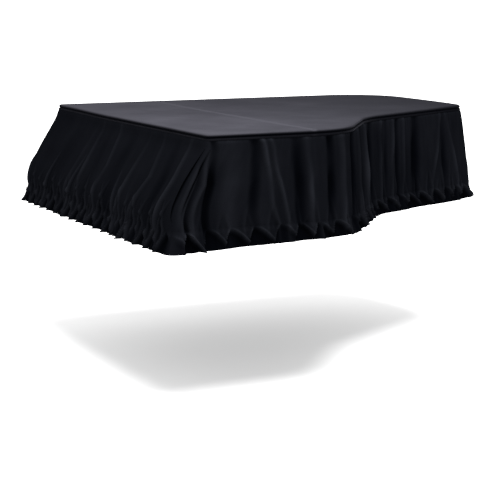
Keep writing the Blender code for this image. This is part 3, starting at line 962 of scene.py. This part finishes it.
def hang(panel, share, drop, line):
    """A point of the hanging cloth in the frame, and how high it stands on its folds."""
    length = panel_length(line, panel)
    point, outward = line.at(line.stations[panel] + share * length)
    along = seam_line.stations[panel] + share * panel_length(seam_line, panel)
    depth = min(1.0, max(0.0, (drop - BAND_DROP) / (RUFFLE_SEAM_DROP - BAND_DROP)))
    below = max(0.0, (drop - RUFFLE_SEAM_DROP) / (HEM_DROP - RUFFLE_SEAM_DROP))
    clear = min(1.0, max(0.0, min(share, 1 - share) * length / FOLD_CLEAR_OF_ENDS))
    phase = pleat_phase(along)
    relief = (1 - FOLDS_GONE * below) * clear * fold_height(FOLDS[panel], share, depth, length)
    relief += (1 - WRINKLES_GONE * below) * clear * wrinkle_height(panel, phase, depth)
    relief += clear * gather_height(panel, along, depth)
    crinkled = clear * min(1.0, CRINKLE_GROWTH * depth + CRINKLE_AT_BAND)
    relief += crinkled * crinkle_height(panel, along, drop)
    relief += seam_pull(drop, RUFFLE_SEAM_DROP)
    if below > 0:
        relief += clear * ruffle_height(panel, phase, below)
    if panel == CHEEK:
        relief += slit_hem(share * length, slit_opening(drop))
    if panel == SPINE:
        relief += slit_hem((1 - share) * length, slit_opening(drop))
    out = relief + fall(drop, STAND_OUT) * flare_at(panel, share, SKIRT_FLARE)
    out += below**HEM_CURVE * flare_at(panel, share, HEM_FLARE)
    free = ease(0.0, 1.0, (drop - SKIRT_TOP) / TUCK_REACH)
    out = free * out - (1 - free) * TUCK_DEPTH
    lower = below * flare_at(panel, share, HEM_SAG)
    lower -= hinge_rise(point.x) * max(0.0, 1 - drop / HINGE_FADE)
    return in_frame(point + outward * out, -drop - lower), relief


hem_line = TapeLine(fall(HEM_DROP, REACH))
print("middle of the front's hem:", hang(FRONT, 0.5, HEM_DROP, hem_line)[0])

# %% [markdown]
# A panel starts as a flat grid, which is what the cut cloth is, and each of its points is then hung in
# place. The grid is finer than the folds need, so the gathers keep their crests. The same function makes
# the skirt and the ruffle, and only the range of drops differs.

# %% Hanging the panels
# Size of a panel's cells along the seam, and rows of cells down a skirt and a ruffle
CELLS = (0.0034, 0.0026, 0.0034, 0.0042, 0.0042)
SKIRT_ROWS, RUFFLE_ROWS = 68, 26


def make_hanging(name, panel, top, bottom, rows, flat):
    """A skirt panel or a length of ruffle: a flat grid, hung row by row."""
    columns = round(panel_length(seam_line, panel) / CELLS[panel])
    drops = [top + (bottom - top) * i / rows for i in range(rows + 1)]
    lines = [TapeLine(fall(drop, REACH)) for drop in drops]
    bm = bmesh.new()
    bmesh.ops.create_grid(bm, x_segments=columns, y_segments=rows, size=0.5)
    light_and_wear = bm.verts.layers.float.new(LIGHT_AND_WEAR_LAYER)
    low, high = RELIEF_RANGE
    places = {}
    for vertex in bm.verts:
        row = round((0.5 - vertex.co.y) * rows)
        length = panel_length(lines[row], panel)
        opening = slit_opening(drops[row])
        gap = SLIT_WIDTH * opening if panel == FRONT else 0.0
        start = gap - (UNDERLAP * opening if panel == CHEEK else 0.0)
        end = length - gap + (UNDERLAP * opening if panel == SPINE else 0.0)
        share = (start + (vertex.co.x + 0.5) * (end - start)) / length
        places[vertex] = (share * panel_length(seam_line, panel), drops[row])
        vertex.co, relief = hang(panel, share, drops[row], lines[row])
        # painted shade in the hollows, painted highlight on the crests
        vertex[light_and_wear] = min(1.0, max(0.0, (relief - low) / (high - low)))
    lay_uv(bm, places)
    return sew_piece(name, bm, SKIRT_FINISH, flat)


SKIRTS = ("front_apron", "cheek_skirt", "bent_side_skirt", "tail_skirt", "spine_skirt")
RUFFLES = ("front_ruffle", "cheek_ruffle", "bent_side_ruffle", "tail_ruffle", "spine_ruffle")
# How much longer and higher than its place each piece is cut
SKIRT_FULLNESS, SKIRT_SLACK = 1.06, 1.05
RUFFLE_FULLNESS = 1.45

for panel, name in enumerate(SKIRTS):
    cut = (
        round(panel_length(seam_line, panel) * SKIRT_FULLNESS, 3),
        round((RUFFLE_SEAM_DROP - BAND_DROP) * SKIRT_SLACK, 3),
    )
    make_hanging(name, panel, SKIRT_TOP, RUFFLE_SEAM_DROP, SKIRT_ROWS, cut)
for panel, name in enumerate(RUFFLES):
    cut = (
        round(panel_length(seam_line, panel) * RUFFLE_FULLNESS, 3),
        round(HEM_DROP - RUFFLE_SEAM_DROP, 3),
    )
    make_hanging(name, panel, RUFFLE_SEAM_DROP, HEM_DROP, RUFFLE_ROWS, cut)

# %% [markdown]
# The studio is plain: a pale floor as far below the top as a lid stands above the ground, one broad soft
# light from above and a little light from all round. The camera looks at the cover as the photograph does.

# %% Floor, light and camera
LID_HEIGHT = 1.025
FLOOR_SIZE = 300.0
WHITE = (1.0, 1.0, 1.0, 1.0)
PAPER_TONE, PAPER_GLOW = (0.95, 0.95, 0.95, 1.0), 0.22


def make_floor():
    bm = bmesh.new()
    bmesh.ops.create_grid(bm, x_segments=1, y_segments=1, size=FLOOR_SIZE)
    bmesh.ops.translate(bm, verts=bm.verts, vec=(0.0, 0.0, -LID_HEIGHT))
    mesh = bpy.data.meshes.new("studio_floor")
    bm.to_mesh(mesh)
    bm.free()
    floor = bpy.data.objects.new("studio_floor", mesh)
    bpy.context.scene.collection.objects.link(floor)
    paper = bpy.data.materials.new("floor_paper")
    paper.use_nodes = True
    shader = paper.node_tree.nodes["Principled BSDF"]
    shader.inputs["Base Color"].default_value = PAPER_TONE
    shader.inputs["Roughness"].default_value = 1.0
    shader.inputs["Specular IOR Level"].default_value = 0.0
    shader.inputs["Emission Color"].default_value = WHITE
    shader.inputs["Emission Strength"].default_value = PAPER_GLOW
    mesh.materials.append(paper)


def place_light(lamp, place, target):
    """Puts a lamp in the studio, facing a place."""
    light = bpy.data.objects.new(lamp.name, lamp)
    light.location = place
    light.rotation_euler = (place - target).to_track_quat("Z", "Y").to_euler()
    bpy.context.scene.collection.objects.link(light)


def make_lights():
    world = bpy.data.worlds.new("studio_air")
    world.use_nodes = True
    world.node_tree.nodes["Background"].inputs["Color"].default_value = WHITE
    world.node_tree.nodes["Background"].inputs["Strength"].default_value = 1.0
    bpy.context.scene.world = world
    lamp = bpy.data.lights.new("far_softbox", "SUN")
    lamp.energy = 4.0
    lamp.angle = math.radians(25)
    place_light(lamp, Vector((0.45, -0.10, 1.00)), Vector())
    lamp = bpy.data.lights.new("overhead_panel", "AREA")
    lamp.energy = 90.0
    lamp.size = 1.0
    place_light(lamp, Vector((0.8, -0.4, 1.7)), Vector((0.5, -0.3, 0.0)))


def make_camera():
    """A long lens at standing height, turned to the cover's front treble corner."""
    turn, tilt, roll = math.radians(62.987), math.radians(9.813), math.radians(0.117)
    forward = Vector((-math.sin(turn) * math.cos(tilt), math.cos(turn) * math.cos(tilt), -math.sin(tilt)))
    level = Vector((math.cos(turn), math.sin(turn), 0.0))
    upward = level.cross(forward)
    right = level * math.cos(roll) + upward * math.sin(roll)
    upward = upward * math.cos(roll) - level * math.sin(roll)
    lens = bpy.data.cameras.new("studio_camera")
    lens.sensor_width = 36.0
    lens.lens = 111.2
    lens.clip_end = 1000.0
    camera = bpy.data.objects.new("studio_camera", lens)
    place = Matrix((right, upward, -forward)).transposed().to_4x4()
    place.translation = (5.7297, -3.1028, 0.5370)
    camera.matrix_world = place
    bpy.context.scene.collection.objects.link(camera)
    bpy.context.scene.camera = camera


make_floor()
make_lights()
make_camera()
bpy.context.scene.view_settings.view_transform = "Standard"
print("camera at", bpy.context.scene.camera.matrix_world.translation)
